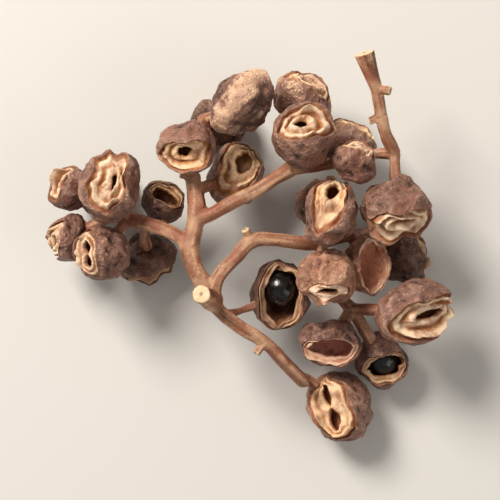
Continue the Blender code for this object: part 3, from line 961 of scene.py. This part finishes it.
def wrinkled(skin, middles):
    """Lengthwise wrinkles on the twig's skin, and the marks that its material reads."""
    co = read_out(skin.vertices, "co")
    normal = read_out(skin.vertex_normals, "vector")
    where = round_and_along(co, middles)
    wide = grain(where * np.array([1.3, 1.3, 0.22]), 1.0)
    fine = grain(where * np.array([3.4, 3.4, 0.5]), 1.0)
    knots = grain(co / MM, 1.1)
    push = WIDE_WRINKLE * wide + FINE_WRINKLE * fine + KNOT * knots
    co += normal * push[:, None] * MM
    skin.vertices.foreach_set("co", co.astype(np.float32).reshape(-1))
    cut, pith = ends_of(co, normal)
    # The groove mark is low in the wrinkles and high on top of them, for painted shade and highlight
    add_mark(skin, "groove", 0.5 + 0.5 * (0.65 * wide + 0.5 * fine))
    add_mark(skin, "fork", forks_of(co) * (0.75 + knots))
    add_mark(skin, "pith", pith)
    add_mark(skin, "cut", cut)
    skin.shade_smooth()
    skin.materials.clear()


def bark_material():
    """Dry bark with painted shade in its wrinkles and painted highlight on top of them, and bare pale wood at
    the cut ends.
    """
    made = bpy.data.materials.new("dry_bark")
    made.use_nodes = True
    tree = made.node_tree
    shader = tree.nodes["Principled BSDF"]
    where = in_mm(tree)
    patches = cloud(tree, where, 0.6, 3.0)
    specks = cloud(tree, where, 6.0, 4.0, 0.7)
    groove = sum_of(tree, marked(tree, "groove"), ranged(tree, specks, 0.3, 0.7, -0.12, 0.12))
    # Painted shade in the wrinkles and painted highlight on top of them, with redder and paler stretches
    tone = blend_colour(tree, ranged(tree, groove, 0.2, 0.5), (0.12, 0.042, 0.022), (0.34, 0.152, 0.083))
    tone = blend_colour(tree, ranged(tree, groove, 0.5, 0.8), tone, (0.6, 0.345, 0.21))
    tone = blend_colour(tree, ranged(tree, patches, 0.48, 0.64, 0.0, 0.75), tone, (0.28, 0.082, 0.045))
    tone = blend_colour(tree, ranged(tree, patches, 0.43, 0.3, 0.0, 0.65), tone, (0.6, 0.375, 0.235))
    # Rubbed pale at the forks, and bare wood with a brown pith at the ends
    rubbed = ranged(tree, marked(tree, "fork"), 0.1, 0.9, 0.0, 0.6)
    tone = blend_colour(tree, rubbed, tone, (0.62, 0.38, 0.225))
    tone = blend_colour(tree, marked(tree, "cut"), tone, (0.78, 0.56, 0.34))
    tone = blend_colour(tree, marked(tree, "pith"), tone, (0.3, 0.16, 0.08))
    bump = node(tree, "ShaderNodeBump", {"Height": specks, "Strength": 0.4, "Distance": 0.05 * MM})
    tree.links.new(tone, shader.inputs["Base Color"])
    tree.links.new(ranged(tree, specks, 0.3, 0.7, 0.45, 0.7), shader.inputs["Roughness"])
    tree.links.new(bump.outputs["Normal"], shader.inputs["Normal"])
    shader.inputs["Specular IOR Level"].default_value = 0.4
    return made


twig_skin, middle_lines = grown_skin()
wrinkled(twig_skin, middle_lines)
show(twig_skin, "twig_bark", bark_material(), ["twig"])

# The stage: a plain pale paper floor, soft studio light from the upper left, and the camera straight above,
# as the photographer looked down. The floor lies a hair below the husks' flat spots.

FLOOR_REACH = 2.0
floor_mesh = bpy.data.meshes.new("floor")
corners = [(x * FLOOR_REACH, y * FLOOR_REACH, 0.0) for x, y in ((-1, -1), (1, -1), (1, 1), (-1, 1))]
floor_mesh.from_pydata(corners, [], [(0, 1, 2, 3)])
floor = bpy.data.objects.new("floor", floor_mesh)
floor.location.z = -0.02 * MM
bpy.context.scene.collection.objects.link(floor)
paper = bpy.data.materials.new("floor_paper")
paper.use_nodes = True
paper_shader = paper.node_tree.nodes["Principled BSDF"]
paper_shader.inputs["Base Color"].default_value = (0.7, 0.68, 0.65, 1.0)
paper_shader.inputs["Roughness"].default_value = 0.9
floor_mesh.materials.append(paper)

world = bpy.data.worlds.new("studio")
world.use_nodes = True
room_light = world.node_tree.nodes["Background"]
room_light.inputs["Color"].default_value = (1.0, 0.97, 0.93, 1.0)
room_light.inputs["Strength"].default_value = 0.3
bpy.context.scene.world = world


def softbox(name, place, power, side, colour):
    """A square lamp at this place in metres, of this power in watts, that faces the sprig."""
    light = bpy.data.lights.new(name, "AREA")
    light.energy = power
    light.size = side
    light.color = colour
    box = bpy.data.objects.new(name, light)
    box.location = place
    box.rotation_euler = (-Vector(place)).to_track_quat("-Z", "Y").to_euler()
    bpy.context.scene.collection.objects.link(box)


softbox("key", (-0.13, 0.15, 0.2), power=0.98, side=0.1, colour=(1.0, 0.95, 0.87))
softbox("fill", (0.22, -0.1, 0.18), power=0.16, side=0.2, colour=(1.0, 0.93, 0.85))

CAMERA_HEIGHT = 0.19
camera_data = bpy.data.cameras.new("camera")
camera_data.lens = 180.0
camera_data.sensor_width = 36.0
camera_data.clip_start = 0.001
camera_data.clip_end = 10.0
camera = bpy.data.objects.new("camera", camera_data)
camera.location = (0.0, 0.0, CAMERA_HEIGHT)
bpy.context.scene.collection.objects.link(camera)
bpy.context.scene.camera = camera
bpy.context.scene.view_settings.view_transform = "Standard"
